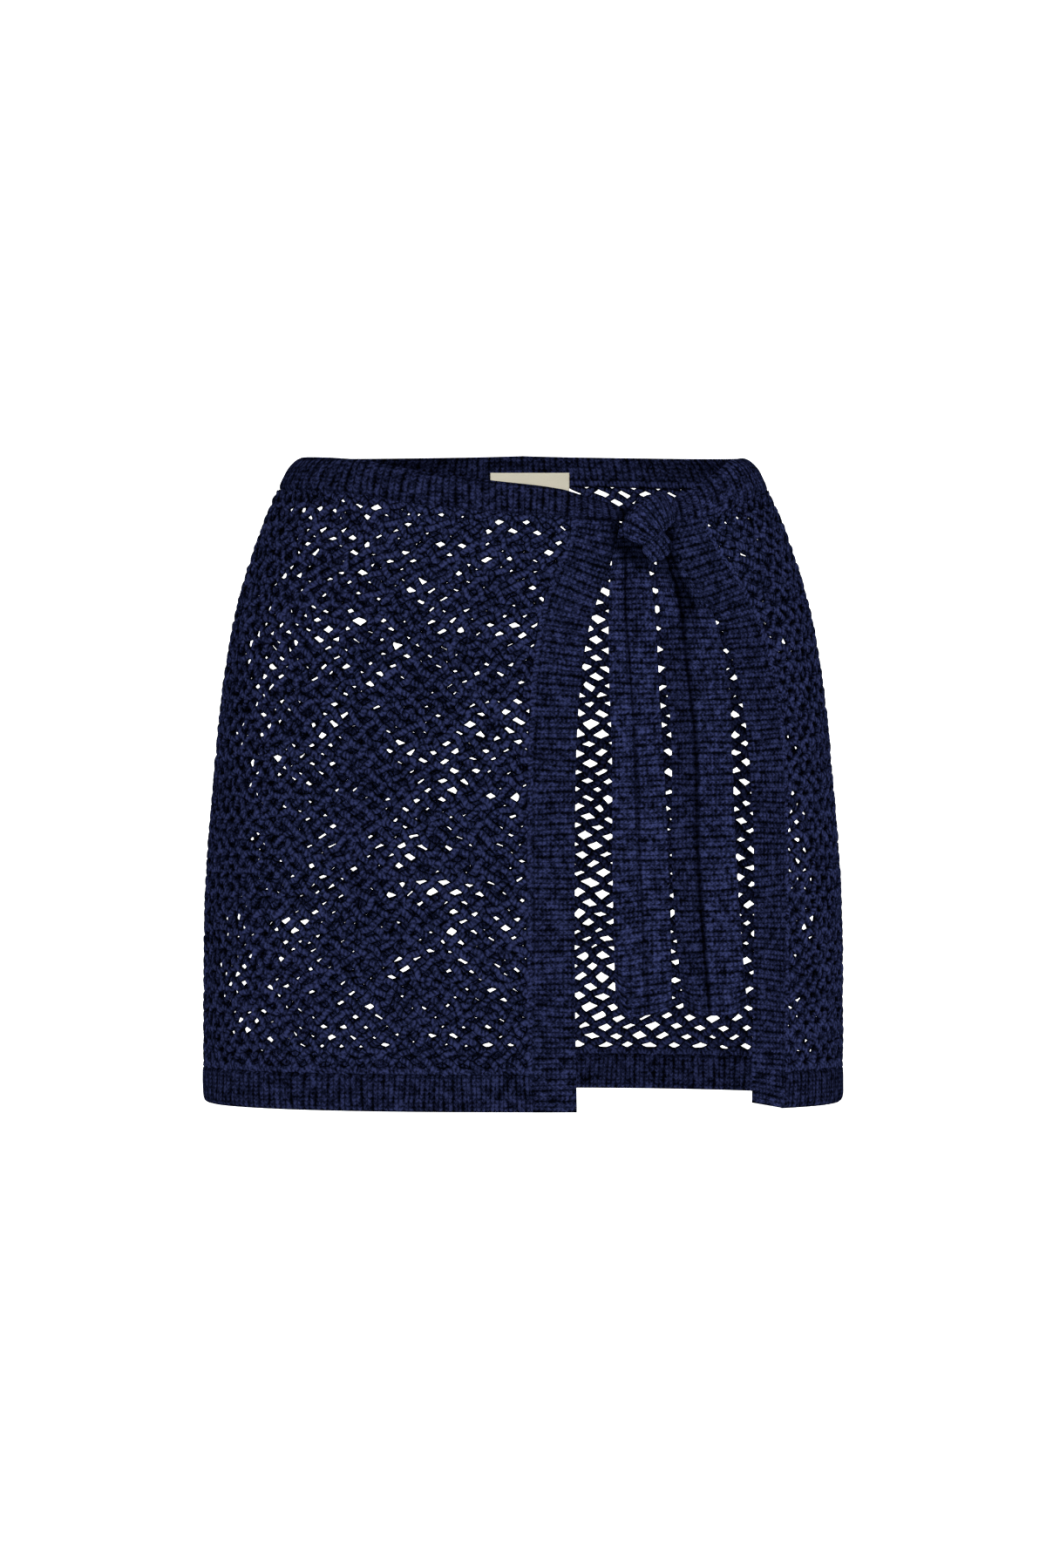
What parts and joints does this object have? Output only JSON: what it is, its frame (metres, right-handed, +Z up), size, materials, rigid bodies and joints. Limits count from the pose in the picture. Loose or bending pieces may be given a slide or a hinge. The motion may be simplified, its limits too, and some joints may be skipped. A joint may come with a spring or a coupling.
{
  "type": "wrap skirt",
  "caption": "Short openwork-knit wrap skirt in its worn, hollow form, with ribbed waistband, hem and front bands, tied in a half knot over an open front slit.",
  "frame": {"origin": "middle of the waist ring, where the skirt is held, 18 mm below the top edge at the back", "axes": "+Z up, the front with its slit faces -Y, +X to the right of someone who looks at the front"},
  "size_m": [0.3762, 0.2439, 0.385],
  "materials": {
    "net_knit": "matt navy yarn, open knit",
    "rib_knit": "matt navy yarn, ribbed knit",
    "tie_knit": "matt navy yarn, ribbed knit",
    "label_tape": "bare cream woven tape"
  },
  "bodies": {
    "root": {"net_front_left": "net_knit", "net_back": "net_knit", "net_front_right": "net_knit", "waistband_front_left": "rib_knit", "waistband_back": "rib_knit", "waistband_front_right": "rib_knit", "hem_front_left": "rib_knit", "hem_back": "rib_knit", "hem_front_right": "rib_knit", "band_left": "rib_knit", "band_right": "rib_knit", "tie_left": "tie_knit", "tie_right": "tie_knit", "knot_turn": "tie_knit", "knot_loop": "tie_knit", "label": "label_tape"}
  },
  "joints": []
}
